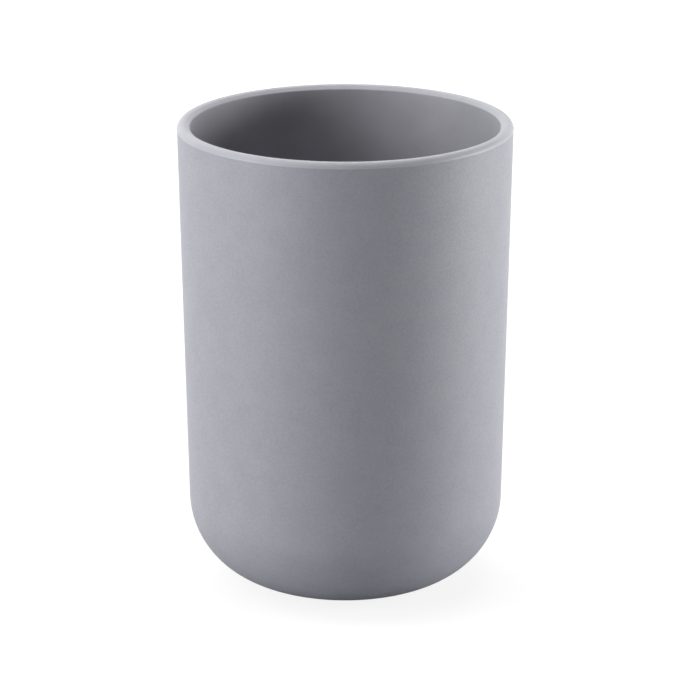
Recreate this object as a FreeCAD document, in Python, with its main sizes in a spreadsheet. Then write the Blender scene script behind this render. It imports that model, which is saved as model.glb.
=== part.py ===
import FreeCAD, Part
import math
import os
import Sketcher

# A moulded bathroom tumbler: a plain round cup with a drafted wall, a deeply rounded base
# and a full-round lip, standing on a soft ring that is let into its underside.
# Millimetres. The origin is the middle of the surface that it stands on, and +Z is its axis.

SIZES = {
    # the cup's outside
    "overall_height": 100.0,  # from the surface it stands on to the crown of the lip
    "rim_diameter": 70.0,  # outside, at the parting line under the lip
    "parting_line_drop": 1.0,  # from the crown of the lip down to the parting line
    "base_flat_diameter": 31.0,  # the flat of the moulded underside
    "base_sweep_radius": 18.0,  # outside rounding between the underside and the wall
    # the cup's inside
    "wall_thickness": 2.65,  # square to the wall
    "floor_thickness": 3.2,
    "inner_sweep_radius": 15.0,  # inside rounding between the floor and the wall
    # the soft ring and the groove that holds it
    "foot_proud": 0.5,  # how far the ring stands out of the underside
    "foot_seat_inset": 0.6,  # from the edge of the base flat to the groove
    "foot_seat_width": 4.6,
    "foot_seat_depth": 1.2,
    "foot_clearance": 0.1,  # from the ring to each side wall of its groove
    "foot_edge_chamfer": 0.4,  # on the ring's two lower edges
    # the shallow recess inside the ring, with the mark left by the mould's gate
    "recess_land": 1.2,  # flat left between the groove and the recess
    "recess_depth": 0.4,
    "recess_edge_chamfer": 0.25,  # round the mouth of the recess
    "gate_mark_diameter": 3.0,
    "gate_mark_height": 0.25,
}

# Sizes that follow from the driving ones, as the sheet's own expressions.
BASE_FLAT_RADIUS = "Sizes.base_flat_diameter / 2"
SEAT_OUTER_RADIUS = f"{BASE_FLAT_RADIUS} - Sizes.foot_seat_inset"
SEAT_INNER_RADIUS = f"{SEAT_OUTER_RADIUS} - Sizes.foot_seat_width"
SEAT_CEILING = "Sizes.foot_proud + Sizes.foot_seat_depth"
RING_OUTER_RADIUS = f"{SEAT_OUTER_RADIUS} - Sizes.foot_clearance"
RING_INNER_RADIUS = f"{SEAT_INNER_RADIUS} + Sizes.foot_clearance"
RECESS_RADIUS = f"{SEAT_INNER_RADIUS} - Sizes.recess_land"
RECESS_CEILING = "Sizes.foot_proud + Sizes.recess_depth"
UNDERSIDE = "Sizes.foot_proud"
STANDING_SURFACE = "0"

# The numbers that a sketch knows the places on its edges by, and its own origin and upright axis.
START, END, CENTRE = range(1, 4)
ORIGIN, V_AXIS = range(-1, -3, -1)

FULL_TURN = 360
MATCH = 1e-4  # how close an edge has to lie to the circle that names it


def make_sheet(doc):
    """Puts the driving sizes in a sheet, one row each, so that every feature can follow them."""
    sheet = doc.addObject("Spreadsheet::Sheet", "Sizes")
    for row, (name, value) in enumerate(SIZES.items(), start=1):
        sheet.set(f"A{row}", name)
        sheet.set(f"B{row}", str(value))
        sheet.setAlias(f"B{row}", name)
    doc.recompute()


def make_body(doc, label):
    body = doc.addObject("PartDesign::Body", label)
    body.Label = label
    body.Placement = FreeCAD.Placement()
    return body


def make_sketch(body, name, plane, height=None):
    """Starts a sketch on one of the body's own origin planes, raised to a height where one is given."""
    sketch = body.newObject("Sketcher::SketchObject", name)
    support = next(f for f in body.Origin.OriginFeatures if f.Role == plane)
    sketch.AttachmentSupport = [(support, "")]
    sketch.MapMode = "FlatFace"
    if height:
        sketch.setExpression(".AttachmentOffset.Base.z", height)
    return sketch


def drive(sketch, name, expression, *constraint):
    """Adds a dimension to a sketch and binds it to the sheet."""
    kind, *places = constraint
    value = float(sketch.evalExpression(expression))
    index = sketch.addConstraint(Sketcher.Constraint(kind, *places, value))
    sketch.renameConstraint(index, name)
    sketch.setExpression(f"Constraints.{name}", expression)


def point(x, y):
    return FreeCAD.Vector(x, y, 0)


def line(x1, y1, x2, y2):
    return Part.LineSegment(point(x1, y1), point(x2, y2))


def arc(x, y, radius, start, end):
    circle = Part.Circle(point(x, y), FreeCAD.Vector(0, 0, 1), radius)
    return Part.ArcOfCircle(circle, start, end)


def circle_edges(feature, height, *radii):
    """Names of the feature's round edges at a height, with one of the radii, all given as expressions."""
    level = float(feature.evalExpression(height))
    sizes = [float(feature.evalExpression(radius)) for radius in radii]
    names = []
    for number, edge in enumerate(feature.Shape.Edges, start=1):
        if not isinstance(edge.Curve, Part.Circle):
            continue
        at_level = abs(edge.Curve.Center.z - level) < MATCH
        if at_level and any(abs(edge.Curve.Radius - size) < MATCH for size in sizes):
            names.append(f"Edge{number}")
    return names


def wall_section(body):
    """Half section of the cup: underside, base sweep, wall, lip, inside wall, inside sweep and floor."""
    base_r = SIZES["base_flat_diameter"] / 2
    base_z = SIZES["foot_proud"]
    sweep = SIZES["base_sweep_radius"]
    rim_r = SIZES["rim_diameter"] / 2
    drop = SIZES["parting_line_drop"]
    line_z = SIZES["overall_height"] - drop
    wall = SIZES["wall_thickness"]
    floor_z = base_z + SIZES["floor_thickness"]
    inner_sweep = SIZES["inner_sweep_radius"]

    # Starting places, close to where the constraints settle them.
    across = rim_r - base_r
    up = line_z - base_z - sweep
    draft = math.atan2(across, up) - math.asin(sweep / math.hypot(across, up))
    out_x = math.cos(draft)
    out_y = -math.sin(draft)
    lip = wall + drop - math.sqrt(2 * wall * drop)
    lip_x = rim_r - wall + lip
    lip_y = line_z + drop - lip
    inner_y = floor_z + inner_sweep
    inner_x = rim_r - (wall + inner_sweep) / out_x - (line_z - inner_y) * math.tan(draft)

    sketch = make_sketch(body, "wall_section", "XZ_Plane")
    wall_foot = (base_r + sweep * out_x, base_z + sweep + sweep * out_y)
    inner_foot = (inner_x + inner_sweep * out_x, inner_y + inner_sweep * out_y)
    inner_top = (lip_x - lip * out_x, lip_y - lip * out_y)
    lip_start = math.asin((lip - drop) / lip)
    underside = sketch.addGeometry(line(0, base_z, base_r, base_z))
    base_arc = sketch.addGeometry(arc(base_r, base_z + sweep, sweep, -math.pi / 2, -draft))
    outer = sketch.addGeometry(line(*wall_foot, rim_r, line_z))
    lip_arc = sketch.addGeometry(arc(lip_x, lip_y, lip, lip_start, math.pi - draft))
    inner = sketch.addGeometry(line(*inner_top, *inner_foot))
    inner_arc = sketch.addGeometry(arc(inner_x, inner_y, inner_sweep, -math.pi / 2, -draft))
    floor = sketch.addGeometry(line(inner_x, floor_z, 0, floor_z))
    axis = sketch.addGeometry(line(0, floor_z, 0, base_z))
    crown = sketch.addGeometry(line(lip_x - lip, lip_y + lip, lip_x + lip, lip_y + lip), True)

    for kind, *places in (
        ("PointOnObject", underside, START, V_AXIS),
        ("Horizontal", underside),
        ("Tangent", underside, END, base_arc, START),
        ("Tangent", base_arc, END, outer, START),
        ("Coincident", outer, END, lip_arc, START),
        ("Tangent", lip_arc, END, inner, START),
        ("Parallel", inner, outer),
        ("Tangent", inner, END, inner_arc, END),
        ("Tangent", inner_arc, START, floor, START),
        ("Horizontal", floor),
        ("PointOnObject", floor, END, V_AXIS),
        ("Coincident", floor, END, axis, START),
        ("Coincident", axis, END, underside, START),
        ("Horizontal", crown),
        ("Tangent", crown, lip_arc),
    ):
        sketch.addConstraint(Sketcher.Constraint(kind, *places))

    # The crown line only marks the lip's highest level, so its ends just follow the walls.
    sketch.addConstraint(Sketcher.Constraint("Vertical", crown, START, lip_arc, END))
    sketch.addConstraint(Sketcher.Constraint("Vertical", crown, END, outer, END))

    drive(sketch, "base_level", UNDERSIDE, "DistanceY", ORIGIN, START, underside, START)
    drive(sketch, "base_flat", BASE_FLAT_RADIUS, "DistanceX", underside, START, underside, END)
    drive(sketch, "base_sweep", "Sizes.base_sweep_radius", "Radius", base_arc)
    drive(sketch, "rim", "Sizes.rim_diameter / 2", "DistanceX", ORIGIN, START, outer, END)
    drive(sketch, "lip_height", "Sizes.overall_height", "DistanceY", ORIGIN, START, crown, START)
    drive(sketch, "line_drop", "Sizes.parting_line_drop", "DistanceY", outer, END, crown, END)
    drive(sketch, "wall", "Sizes.wall_thickness", "Distance", outer, END, inner)
    drive(sketch, "inner_sweep", "Sizes.inner_sweep_radius", "Radius", inner_arc)
    drive(sketch, "floor", "Sizes.floor_thickness", "DistanceY", underside, START, floor, END)
    return sketch


def box_section(body, name, inner, outer, low, high):
    """Half section of a ring with a rectangular profile, from expressions for its radii and levels."""
    sketch = make_sketch(body, name, "XZ_Plane")
    # Any small rectangle will do to start from: the dimensions set it.
    bottom = sketch.addGeometry(line(1, 0, 2, 0))
    right = sketch.addGeometry(line(2, 0, 2, 1))
    top = sketch.addGeometry(line(2, 1, 1, 1))
    left = sketch.addGeometry(line(1, 1, 1, 0))
    for first, second in ((bottom, right), (right, top), (top, left), (left, bottom)):
        sketch.addConstraint(Sketcher.Constraint("Coincident", first, END, second, START))
    for edge in (bottom, top):
        sketch.addConstraint(Sketcher.Constraint("Horizontal", edge))
    for edge in (right, left):
        sketch.addConstraint(Sketcher.Constraint("Vertical", edge))
    drive(sketch, "inner", inner, "DistanceX", ORIGIN, START, bottom, START)
    drive(sketch, "outer", outer, "DistanceX", ORIGIN, START, bottom, END)
    drive(sketch, "low", low, "DistanceY", ORIGIN, START, bottom, START)
    drive(sketch, "high", high, "DistanceY", ORIGIN, START, top, START)
    return sketch


def disc_section(body, name, radius, height):
    """A circle about the axis, at a height."""
    sketch = make_sketch(body, name, "XY_Plane", height)
    disc = sketch.addGeometry(Part.Circle(point(0, 0), FreeCAD.Vector(0, 0, 1), 1))
    sketch.addConstraint(Sketcher.Constraint("Coincident", disc, CENTRE, ORIGIN, START))
    drive(sketch, "radius", radius, "Radius", disc)
    return sketch


def turn(body, kind, name, sketch):
    """Turns a half section about the axis, to add or to cut."""
    feature = body.newObject(kind, name)
    feature.Profile = sketch
    feature.ReferenceAxis = (sketch, ["V_Axis"])
    feature.Angle = FULL_TURN
    return feature


def make_tumbler(doc):
    body = make_body(doc, "tumbler_body")
    shell = turn(body, "PartDesign::Revolution", "shell", wall_section(body))
    doc.recompute()
    shell_volume = shell.Shape.Volume

    seat_radii = (SEAT_INNER_RADIUS, SEAT_OUTER_RADIUS)
    seat_sketch = box_section(body, "foot_seat_section", *seat_radii, STANDING_SURFACE, SEAT_CEILING)
    seat = turn(body, "PartDesign::Groove", "foot_seat", seat_sketch)
    doc.recompute()
    seat_volume = seat.Shape.Volume

    recess = body.newObject("PartDesign::Pocket", "recess")
    recess.Profile = disc_section(body, "recess_outline", RECESS_RADIUS, UNDERSIDE)
    recess.Reversed = True
    recess.setExpression("Length", "Sizes.recess_depth")
    doc.recompute()
    recess_volume = recess.Shape.Volume

    # The mouth of the recess is eased, so that the underside has no sharp inner edge.
    mouth = body.newObject("PartDesign::Chamfer", "recess_mouth")
    mouth.Base = (recess, circle_edges(recess, UNDERSIDE, RECESS_RADIUS))
    mouth.setExpression("Size", "Sizes.recess_edge_chamfer")
    doc.recompute()

    gate = body.newObject("PartDesign::Pad", "gate_mark")
    gate.Profile = disc_section(body, "gate_outline", "Sizes.gate_mark_diameter / 2", RECESS_CEILING)
    gate.Reversed = True
    gate.setExpression("Length", "Sizes.gate_mark_height")
    doc.recompute()

    if not shell_volume > seat_volume > recess_volume:
        raise RuntimeError("the seat or the recess cuts nothing from the underside")
    if gate.Shape.Volume <= mouth.Shape.Volume:
        raise RuntimeError("the gate mark adds nothing to the underside")
    return body


def make_foot_ring(doc):
    body = make_body(doc, "foot_ring")
    ring_radii = (RING_INNER_RADIUS, RING_OUTER_RADIUS)
    ring_sketch = box_section(body, "foot_ring_section", *ring_radii, STANDING_SURFACE, SEAT_CEILING)
    ring = turn(body, "PartDesign::Revolution", "ring", ring_sketch)
    doc.recompute()

    edges = body.newObject("PartDesign::Chamfer", "lower_edges")
    edges.Base = (ring, circle_edges(ring, STANDING_SURFACE, *ring_radii))
    edges.setExpression("Size", "Sizes.foot_edge_chamfer")
    doc.recompute()
    return body


def check(doc, bodies):
    """Stops before anything is written if a feature failed or a solid isn't sound."""
    for thing in doc.Objects:
        if "Invalid" in thing.State or "Error" in thing.State:
            raise RuntimeError(f"{thing.Name} failed: {thing.State}")
    for body in bodies:
        if body.Shape.isNull() or not body.Shape.isValid():
            raise RuntimeError(f"{body.Label} has no valid shape")
        if len(body.Shape.Solids) != 1:
            raise RuntimeError(f"{body.Label} isn't one solid")


def main():
    doc = FreeCAD.newDocument("bathroom_tumbler")
    make_sheet(doc)
    bodies = [make_tumbler(doc), make_foot_ring(doc)]
    doc.recompute()
    check(doc, bodies)
    os.makedirs("parts", exist_ok=True)
    for body in bodies:
        body.Shape.exportStep(f"parts/{body.Label}.step")
        box = body.Shape.optimalBoundingBox()
        size = f"{box.XLength:.2f} mm across, {box.ZLength:.2f} mm high"
        print(f"{body.Label}: {size}, {body.Shape.Volume:.1f} mm3")


main()
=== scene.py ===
import math

import bmesh
import bpy
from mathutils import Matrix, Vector


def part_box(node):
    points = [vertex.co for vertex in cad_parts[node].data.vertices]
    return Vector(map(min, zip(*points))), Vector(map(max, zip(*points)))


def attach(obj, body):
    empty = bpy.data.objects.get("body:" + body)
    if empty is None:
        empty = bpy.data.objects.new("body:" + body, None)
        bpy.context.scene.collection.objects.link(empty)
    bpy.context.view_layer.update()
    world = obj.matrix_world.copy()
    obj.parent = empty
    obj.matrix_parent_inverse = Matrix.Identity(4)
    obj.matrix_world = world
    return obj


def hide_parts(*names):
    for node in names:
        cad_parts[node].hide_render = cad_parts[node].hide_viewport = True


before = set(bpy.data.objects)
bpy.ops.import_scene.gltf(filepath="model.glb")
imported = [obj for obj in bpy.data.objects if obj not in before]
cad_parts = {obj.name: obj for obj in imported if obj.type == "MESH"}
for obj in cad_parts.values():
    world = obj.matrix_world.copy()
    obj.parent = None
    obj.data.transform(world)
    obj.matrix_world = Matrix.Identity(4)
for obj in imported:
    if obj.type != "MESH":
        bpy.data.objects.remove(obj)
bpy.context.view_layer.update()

# The looks of a plain moulded bathroom tumbler. Metres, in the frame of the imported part.
MM = 0.001

# What the part's own boxes give.
cup_low, cup_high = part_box("tumbler_body")
ring_low, ring_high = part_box("foot_ring")
RIM_RADIUS = min(cup_high.x, cup_high.y, -cup_low.x, -cup_low.y)
CROWN = cup_high.z  # top of the lip
UNDERSIDE = cup_low.z
SEAT_CEILING = ring_high.z
RING_OUTER_RADIUS = min(ring_high.x, ring_high.y, -ring_low.x, -ring_low.y)
STANDING_SURFACE = ring_low.z

# The section, as on the solid part. The lip's slope and the bead are finer detail.
PARTING_LINE = CROWN - 1.0 * MM
LIP = 1.25 * MM
LIP_SLOPE = math.radians(40)
WALL = 2.65 * MM
BASE_FLAT_RADIUS = 15.5 * MM
BASE_SWEEP = 18.0 * MM
FLOOR = UNDERSIDE + 3.2 * MM
INNER_SWEEP = 15.0 * MM
RING_WIDTH = 4.4 * MM
RING_CLEARANCE = 0.1 * MM
RING_ROUNDING = 0.4 * MM
RECESS_LAND = 1.2 * MM
RECESS_CEILING = UNDERSIDE + 0.4 * MM
GATE_RADIUS = 1.5 * MM
GATE_LEVEL = RECESS_CEILING - 0.25 * MM
SMALL_ROUNDING = 0.15 * MM
LIP_ROUNDING = 0.14 * MM
BEAD_PROUD = 0.03 * MM  # of the fine line that the mould leaves where its halves part
BEAD_HEIGHT = 0.25 * MM

# Colours, and the part of a random pattern's range that most of a surface lies in.
OUTSIDE_DARKER = (0.289, 0.289, 0.331)
OUTSIDE_LIGHTER = (0.327, 0.327, 0.369)
# Lip colours: the same plastic painted paler, a painted highlight for the light on the lip.
LIP_PAINTED_LIGHT_DARKER = (0.342, 0.342, 0.384)
LIP_PAINTED_LIGHT_LIGHTER = (0.354, 0.354, 0.396)
# Parting line colours: paler still, a painted highlight along the fine line.
LINE_PAINTED_HIGHLIGHT_DARKER = (0.385, 0.385, 0.428)
LINE_PAINTED_HIGHLIGHT_LIGHTER = (0.400, 0.400, 0.442)
INSIDE_DARKER = (0.306, 0.306, 0.342)
INSIDE_LIGHTER = (0.330, 0.330, 0.370)
RING_DARKER = (0.105, 0.105, 0.114)
RING_LIGHTER = (0.135, 0.135, 0.146)
PATTERN_MIDDLE = (0.35, 0.65)

SPIN_STEPS = 192
SHARP_ANGLE = math.radians(12)
SAME_PLACE = 0.002 * MM


# Mesh tools

class Section:
    """A half section drawn with one moving tip in the XZ plane, to be spun about Z."""

    def __init__(self, radius, height):
        self.mesh = bmesh.new()
        self.tip = self.mesh.verts.new((radius, 0, height))

    def line(self, radius, height, steps=1):
        """Draws a straight run from the tip to a point."""
        start = self.tip.co.copy()
        end = Vector((radius, 0, height))
        for step in range(1, steps + 1):
            grown = bmesh.ops.extrude_vert_indiv(self.mesh, verts=[self.tip])
            self.tip = grown["verts"][0]
            self.tip.co = start.lerp(end, step / steps)

    def arc(self, centre, turn, steps):
        """Carries the tip round a centre. A positive turn goes from outwards to upwards."""
        middle = (centre[0], 0, centre[1])
        swept = bmesh.ops.spin(
            self.mesh, geom=[self.tip], cent=middle, axis=(0, -1, 0), angle=turn, steps=steps
        )
        self.tip = next(item for item in swept["geom_last"] if isinstance(item, bmesh.types.BMVert))

    def spin(self):
        """Turns the section right round the axis, into a closed skin with its faces outwards."""
        mesh = self.mesh
        bmesh.ops.spin(
            mesh, geom=mesh.verts[:] + mesh.edges[:], cent=(0, 0, 0), axis=(0, 0, 1),
            angle=math.tau, steps=SPIN_STEPS, use_merge=True,
        )
        bmesh.ops.remove_doubles(mesh, verts=mesh.verts[:], dist=SAME_PLACE)
        bmesh.ops.recalc_face_normals(mesh, faces=mesh.faces[:])
        return mesh


def round_edge(mesh, radius, height, rounding, segments):
    """Rounds the circular edge at a radius and height."""
    def on_circle(vert):
        near = abs(vert.co.xy.length - radius) < SAME_PLACE
        return near and abs(vert.co.z - height) < SAME_PLACE

    ring = [edge for edge in mesh.edges if all(on_circle(vert) for vert in edge.verts)]
    bmesh.ops.bevel(
        mesh, geom=ring, offset=rounding, affect="EDGES", segments=segments, profile=0.5, material=-1
    )


def add_piece(name, mesh, finishes):
    """Makes a bmesh an object with its finishes, riding on the part."""
    data = bpy.data.meshes.new(name)
    mesh.to_mesh(data)
    mesh.free()
    data.polygons.foreach_set("use_smooth", [True] * len(data.polygons))
    data.set_sharp_from_angle(angle=SHARP_ANGLE)
    for finish in finishes:
        data.materials.append(finish)
    piece = bpy.data.objects.new(name, data)
    bpy.context.scene.collection.objects.link(piece)
    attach(piece, "root")
    return piece


# Finishes

def new_finish(name):
    """A material with a node tree of its own."""
    finish = bpy.data.materials.new(name)
    finish.use_nodes = True
    return finish, finish.node_tree.nodes, finish.node_tree.links


def add_pattern(nodes, links, blot, detail):
    """A soft random pattern over the piece, whose blots are about a given size."""
    place = nodes.new("ShaderNodeTexCoord")
    pattern = nodes.new("ShaderNodeTexNoise")
    pattern.inputs["Scale"].default_value = 1 / blot
    pattern.inputs["Detail"].default_value = detail
    links.new(place.outputs["Object"], pattern.inputs["Vector"])
    return pattern.outputs["Fac"]


def add_mix(nodes, links, first, second, share):
    """Blends a share of a second pattern into a first one."""
    blend = nodes.new("ShaderNodeMix")
    blend.inputs["Factor"].default_value = share
    links.new(first, blend.inputs["A"])
    links.new(second, blend.inputs["B"])
    return blend.outputs["Result"]


def add_colour(nodes, links, pattern, darker, lighter):
    """Shades a surface between two colours, over the middle of a pattern's range."""
    ramp = nodes.new("ShaderNodeValToRGB")
    for stop, place, colour in zip(ramp.color_ramp.elements, PATTERN_MIDDLE, (darker, lighter)):
        stop.position = place
        stop.color = (*colour, 1)
    links.new(pattern, ramp.inputs["Fac"])
    return ramp.outputs["Color"]


def add_range(nodes, links, value, low, high, span=PATTERN_MIDDLE):
    """Spreads a span of a value, as a rule the middle of a pattern's range, from low to high."""
    spread = nodes.new("ShaderNodeMapRange")
    spread.inputs["From Min"].default_value, spread.inputs["From Max"].default_value = span
    spread.inputs["To Min"].default_value = low
    spread.inputs["To Max"].default_value = high
    links.new(value, spread.inputs["Value"])
    return spread.outputs["Result"]


def add_relief(nodes, links, pattern, depth, under=None):
    """Raises a pattern on the surface, over another relief where one is given."""
    relief = nodes.new("ShaderNodeBump")
    relief.inputs["Distance"].default_value = depth
    links.new(pattern, relief.inputs["Height"])
    if under:
        links.new(under, relief.inputs["Normal"])
    return relief.outputs["Normal"]


def moulded_finish(name, colours, speckle, cloud, cloud_depth, grain, grain_depth, gloss):
    """Moulded plastic or rubber: clouded, speckled colour, soft waves, and the mould's fine grain."""
    finish, nodes, links = new_finish(name)
    shader = nodes["Principled BSDF"]
    clouds = add_pattern(nodes, links, cloud, detail=3)
    grains = add_pattern(nodes, links, grain, detail=2)
    tones = add_mix(nodes, links, clouds, grains, speckle)
    waves = add_relief(nodes, links, clouds, cloud_depth)
    links.new(add_colour(nodes, links, tones, *colours), shader.inputs["Base Color"])
    links.new(add_range(nodes, links, grains, *gloss), shader.inputs["Roughness"])
    links.new(add_relief(nodes, links, grains, grain_depth, waves), shader.inputs["Normal"])
    return finish


def grained_plastic():
    """The outside of the cup, from a mould with a fine matt grain."""
    return moulded_finish(
        "grained_plastic", colours=(OUTSIDE_DARKER, OUTSIDE_LIGHTER), speckle=0.65,
        cloud=5.0 * MM, cloud_depth=0.025 * MM, grain=0.45 * MM, grain_depth=0.028 * MM, gloss=(0.6, 0.5),
    )


def smooth_plastic():
    """The inside, from the mould's smooth core."""
    return moulded_finish(
        "smooth_plastic", colours=(INSIDE_DARKER, INSIDE_LIGHTER), speckle=0.2,
        cloud=6.0 * MM, cloud_depth=0.03 * MM, grain=0.4 * MM, grain_depth=0.003 * MM, gloss=(0.56, 0.48),
    )


def satin_plastic_painted_light():
    """The lip, satin, and painted paler than the wall: a painted highlight for the light that falls on
    its top.
    """
    return moulded_finish(
        "satin_plastic_painted_light", colours=(LIP_PAINTED_LIGHT_DARKER, LIP_PAINTED_LIGHT_LIGHTER), speckle=0.2,
        cloud=6.0 * MM, cloud_depth=0.02 * MM, grain=0.4 * MM, grain_depth=0.002 * MM, gloss=(0.60, 0.52),
    )


def trimmed_plastic_painted_highlight():
    """The fine line where the mould's halves part, trimmed smooth, and painted paler than the wall: a
    painted highlight along the line.
    """
    return moulded_finish(
        "trimmed_plastic_painted_highlight", colours=(LINE_PAINTED_HIGHLIGHT_DARKER, LINE_PAINTED_HIGHLIGHT_LIGHTER), speckle=0.2,
        cloud=6.0 * MM, cloud_depth=0.01 * MM, grain=0.4 * MM, grain_depth=0.001 * MM, gloss=(0.44, 0.36),
    )


def soft_rubber():
    """The dark ring underneath, with a dull stippled skin."""
    return moulded_finish(
        "soft_rubber", colours=(RING_DARKER, RING_LIGHTER), speckle=0.5,
        cloud=2.5 * MM, cloud_depth=0.01 * MM, grain=0.25 * MM, grain_depth=0.02 * MM, gloss=(0.88, 0.74),
    )


# Pieces

def make_cup():
    """The moulded cup: drafted wall, deep base sweep, rounded lip, and the seat for its ring."""
    rim = RIM_RADIUS - BEAD_PROUD
    across = rim - BASE_FLAT_RADIUS
    up = PARTING_LINE - UNDERSIDE - BASE_SWEEP
    draft = math.atan2(across, up) - math.asin(BASE_SWEEP / math.hypot(across, up))
    lean = math.sin(draft)
    drop = CROWN - PARTING_LINE

    # The lip's round starts at the parting line and runs over the crown into a slope to the inside wall.
    lip_start = math.asin((LIP - drop) / LIP)
    lip_centre = Vector((rim - LIP * math.cos(lip_start), CROWN - LIP))
    slope_top = lip_centre + LIP * Vector((-math.sin(LIP_SLOPE), math.cos(LIP_SLOPE)))
    slope_way = Vector((-math.cos(LIP_SLOPE), -math.sin(LIP_SLOPE)))
    inwards = Vector((-math.cos(draft), lean))
    spare = WALL - inwards.dot(slope_top - Vector((rim, PARTING_LINE)))
    lip_edge = slope_top + slope_way * spare / inwards.dot(slope_way)

    base_centre = (BASE_FLAT_RADIUS, UNDERSIDE + BASE_SWEEP)
    inner_level = FLOOR + INNER_SWEEP
    inner_depth = (PARTING_LINE - inner_level) * math.tan(draft)
    inner_centre = (rim - (WALL + INNER_SWEEP) / math.cos(draft) - inner_depth, inner_level)
    inner_foot_radius = inner_centre[0] + INNER_SWEEP * math.cos(draft)
    inner_foot_height = inner_level - INNER_SWEEP * lean

    bead_half_turn = 2 * math.atan(2 * BEAD_PROUD / BEAD_HEIGHT)
    bead_depth = BEAD_HEIGHT / 2 / math.tan(bead_half_turn)
    bead_centre = (rim - bead_depth, PARTING_LINE - BEAD_HEIGHT / 2)

    seat_outer = RING_OUTER_RADIUS + RING_CLEARANCE
    seat_inner = RING_OUTER_RADIUS - RING_WIDTH - RING_CLEARANCE
    recess = seat_inner - RECESS_LAND

    section = Section(0, GATE_LEVEL)
    section.line(GATE_RADIUS, GATE_LEVEL, steps=4)
    section.line(GATE_RADIUS, RECESS_CEILING)
    section.line(recess, RECESS_CEILING, steps=12)
    section.line(recess, UNDERSIDE)
    section.line(seat_inner, UNDERSIDE, steps=2)
    section.line(seat_inner, SEAT_CEILING, steps=2)
    section.line(seat_outer, SEAT_CEILING, steps=4)
    section.line(seat_outer, UNDERSIDE, steps=2)
    section.line(BASE_FLAT_RADIUS, UNDERSIDE)
    section.arc(base_centre, math.pi / 2 - draft, steps=32)
    section.line(rim, PARTING_LINE - BEAD_HEIGHT, steps=40)
    section.arc(bead_centre, 2 * bead_half_turn, steps=8)
    section.arc(lip_centre, math.pi / 2 + LIP_SLOPE - lip_start, steps=24)
    section.line(*lip_edge, steps=4)
    section.line(inner_foot_radius, inner_foot_height, steps=40)
    section.arc(inner_centre, draft - math.pi / 2, steps=28)
    section.line(0, FLOOR, steps=10)
    mesh = section.spin()

    for radius, height in (
        (GATE_RADIUS, GATE_LEVEL),
        (recess, UNDERSIDE),
        (seat_inner, UNDERSIDE),
        (seat_outer, UNDERSIDE),
    ):
        round_edge(mesh, radius, height, SMALL_ROUNDING, segments=4)
    round_edge(mesh, *lip_edge, LIP_ROUNDING, segments=6)

    # The lip and the parting line get paler copies of the plastic: painted highlights.
    finishes = [grained_plastic(), satin_plastic_painted_light(), trimmed_plastic_painted_highlight(), smooth_plastic()]
    outside, lip, line, inside = range(4)
    for face in mesh.faces:
        centre = face.calc_center_median()
        faces_out = face.normal.xy.dot(centre.xy) > 0
        if centre.z > PARTING_LINE:
            face.material_index = lip
        elif faces_out and centre.z > PARTING_LINE - BEAD_HEIGHT:
            face.material_index = line
        elif not faces_out and centre.z > FLOOR - SAME_PLACE:
            face.material_index = inside
        else:
            face.material_index = outside

    cup = add_piece("moulded_cup", mesh, finishes)
    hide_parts("tumbler_body")


def make_ring():
    """The soft ring that the cup stands on, with rounded lower edges."""
    inner = RING_OUTER_RADIUS - RING_WIDTH
    section = Section(inner, STANDING_SURFACE)
    section.line(RING_OUTER_RADIUS, STANDING_SURFACE, steps=6)
    section.line(RING_OUTER_RADIUS, SEAT_CEILING, steps=3)
    section.line(inner, SEAT_CEILING, steps=6)
    section.line(inner, STANDING_SURFACE, steps=3)
    mesh = section.spin()
    for radius in (inner, RING_OUTER_RADIUS):
        round_edge(mesh, radius, STANDING_SURFACE, RING_ROUNDING, segments=8)
    ring = add_piece("soft_foot_ring", mesh, [soft_rubber()])
    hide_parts("foot_ring")


# Studio

MIDDLE = Vector((0, 0, CROWN / 2))
FLOOR_HALF_WIDTH = 3.0
FLOOR_GLOW = (0.85, 1.0)  # near the tumbler, where the floor shows its shadow, and far from it
GLOW_REACH = (0.15, 0.6)
# Painted shade: in reflections the floor's white fades to nothing within this reach of the axis.
PAINTED_SHADE_REACH = (20 * MM, 60 * MM)
FLOOR_SEEN_COLOUR = 0.2
FLOOR_BOUNCE_COLOUR = (0.5, 0.5, 0.54, 1)

CAMERA_DISTANCE = 670.4 * MM  # from the middle of the tumbler's axis
CAMERA_ELEVATION = math.radians(17.95)
CAMERA_LENS = 162.2
CAMERA_AIM = Vector((0.98 * MM, 0, 50.03 * MM))

# Soft light panels: bearing from the camera, round to the right, and elevation, in degrees;
# width and height in metres; power in watts.
PANEL_DISTANCE = 0.9
PANEL_COLOUR = (1, 1, 0.98)
PANELS = {
    "left_low": (-65, 12, 0.36, 0.38, 4.8),
    "left_high": (-77, 46, 0.32, 0.70, 4.1),
    "right_level": (94, 0, 0.40, 0.09, 3.1),
    "right_low": (95, 8, 0.56, 0.16, 4.6),
    "back_left": (-140, 8, 0.70, 0.24, 1.0),
    "back_right": (140, 8, 0.70, 0.24, 1.0),
    "back_high": (180, 47, 0.80, 0.40, 4.4),
    "top": (0, 90, 0.60, 0.60, 3.1),
}


def seen_directly(nodes, links):
    """1 where the camera, a reflection or a see-through surface looks, and 0 for soft light."""
    path = nodes.new("ShaderNodeLightPath")
    mirrored = nodes.new("ShaderNodeMath")
    mirrored.operation = "MAXIMUM"
    links.new(path.outputs["Is Glossy Ray"], mirrored.inputs[0])
    links.new(path.outputs["Is Transmission Ray"], mirrored.inputs[1])
    seen = nodes.new("ShaderNodeMath")
    seen.operation = "MAXIMUM"
    links.new(path.outputs["Is Camera Ray"], seen.inputs[0])
    links.new(mirrored.outputs[0], seen.inputs[1])
    return seen.outputs[0]


def direction(bearing, elevation):
    """Points away from the tumbler: bearing 0 is towards the camera, and 90 degrees to its right."""
    level = math.cos(elevation)
    return Vector((math.sin(bearing) * level, -math.cos(bearing) * level, math.sin(elevation)))


def grey(level):
    return (level, level, level, 1)


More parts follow.
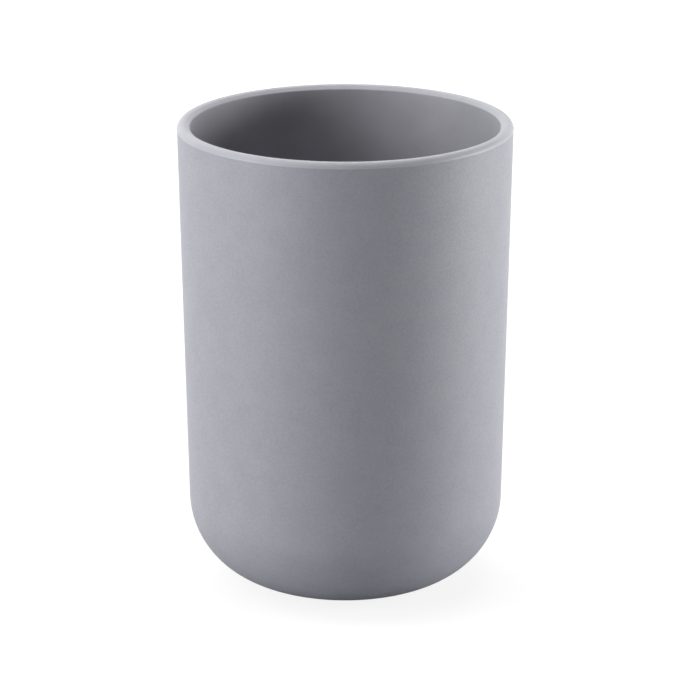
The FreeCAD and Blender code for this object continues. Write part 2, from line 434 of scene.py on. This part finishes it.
def add_floor_glow(nodes, links):
    """The floor's own white. In what the tumbler reflects, the white is faded near its axis: a painted
    shade that stands for the shade underneath.
    """
    place = nodes.new("ShaderNodeTexCoord")
    reach = nodes.new("ShaderNodeVectorMath")
    reach.operation = "LENGTH"
    links.new(place.outputs["Object"], reach.inputs[0])
    path = nodes.new("ShaderNodeLightPath")
    # Painted shade: for glossy rays only, the glow is scaled down near the tumbler.
    shade = nodes.new("ShaderNodeMix")
    shade.inputs["A"].default_value = 1
    links.new(path.outputs["Is Glossy Ray"], shade.inputs["Factor"])
    links.new(add_range(nodes, links, reach.outputs["Value"], 0, 1, PAINTED_SHADE_REACH), shade.inputs["B"])
    level = nodes.new("ShaderNodeMath")
    level.operation = "MULTIPLY"
    links.new(add_range(nodes, links, reach.outputs["Value"], *FLOOR_GLOW, GLOW_REACH), level.inputs[0])
    links.new(shade.outputs["Result"], level.inputs[1])
    glow = nodes.new("ShaderNodeEmission")
    links.new(level.outputs[0], glow.inputs["Strength"])
    return glow.outputs[0]


def make_floor():
    """A pale floor that looks white and still takes the tumbler's shadow."""
    finish, nodes, links = new_finish("pale_floor")
    nodes.remove(nodes["Principled BSDF"])
    bounce = nodes.new("ShaderNodeBsdfDiffuse")
    bounce.inputs["Color"].default_value = FLOOR_BOUNCE_COLOUR
    lit = nodes.new("ShaderNodeBsdfDiffuse")
    lit.inputs["Color"].default_value = grey(FLOOR_SEEN_COLOUR)
    shown = nodes.new("ShaderNodeAddShader")
    links.new(lit.outputs[0], shown.inputs[0])
    links.new(add_floor_glow(nodes, links), shown.inputs[1])
    mix = nodes.new("ShaderNodeMixShader")
    links.new(seen_directly(nodes, links), mix.inputs[0])
    links.new(bounce.outputs[0], mix.inputs[1])
    links.new(shown.outputs[0], mix.inputs[2])
    links.new(mix.outputs[0], nodes["Material Output"].inputs["Surface"])

    mesh = bmesh.new()
    bmesh.ops.create_grid(mesh, x_segments=1, y_segments=1, size=FLOOR_HALF_WIDTH)
    data = bpy.data.meshes.new("floor")
    mesh.to_mesh(data)
    mesh.free()
    data.materials.append(finish)
    floor = bpy.data.objects.new("floor", data)
    bpy.context.scene.collection.objects.link(floor)


def make_world():
    """White behind everything, which gives no light of its own."""
    world = bpy.data.worlds.new("studio")
    world.use_nodes = True
    nodes = world.node_tree.nodes
    links = world.node_tree.links
    white = nodes["Background"]
    white.inputs["Color"].default_value = grey(1)
    links.new(seen_directly(nodes, links), white.inputs["Strength"])
    bpy.context.scene.world = world


def make_panels():
    """Soft light panels round the tumbler, each turned to its middle."""
    for name, (bearing, elevation, width, height, power) in PANELS.items():
        lamp = bpy.data.lights.new(name, "AREA")
        lamp.shape = "RECTANGLE"
        lamp.size = width
        lamp.size_y = height
        lamp.energy = power
        lamp.color = PANEL_COLOUR
        panel = bpy.data.objects.new(name, lamp)
        away = direction(math.radians(bearing), math.radians(elevation))
        panel.location = MIDDLE + away * PANEL_DISTANCE
        panel.rotation_euler = (-away).to_track_quat("-Z", "Y").to_euler()
        bpy.context.scene.collection.objects.link(panel)


def make_camera():
    lens = bpy.data.cameras.new("camera")
    lens.lens = CAMERA_LENS
    camera = bpy.data.objects.new("camera", lens)
    camera.location = MIDDLE + direction(0, CAMERA_ELEVATION) * CAMERA_DISTANCE
    camera.rotation_euler = (CAMERA_AIM - camera.location).to_track_quat("-Z", "Y").to_euler()
    bpy.context.scene.collection.objects.link(camera)
    bpy.context.scene.camera = camera


make_cup()
make_ring()
make_floor()
make_world()
make_panels()
make_camera()
bpy.context.scene.view_settings.view_transform = "Standard"
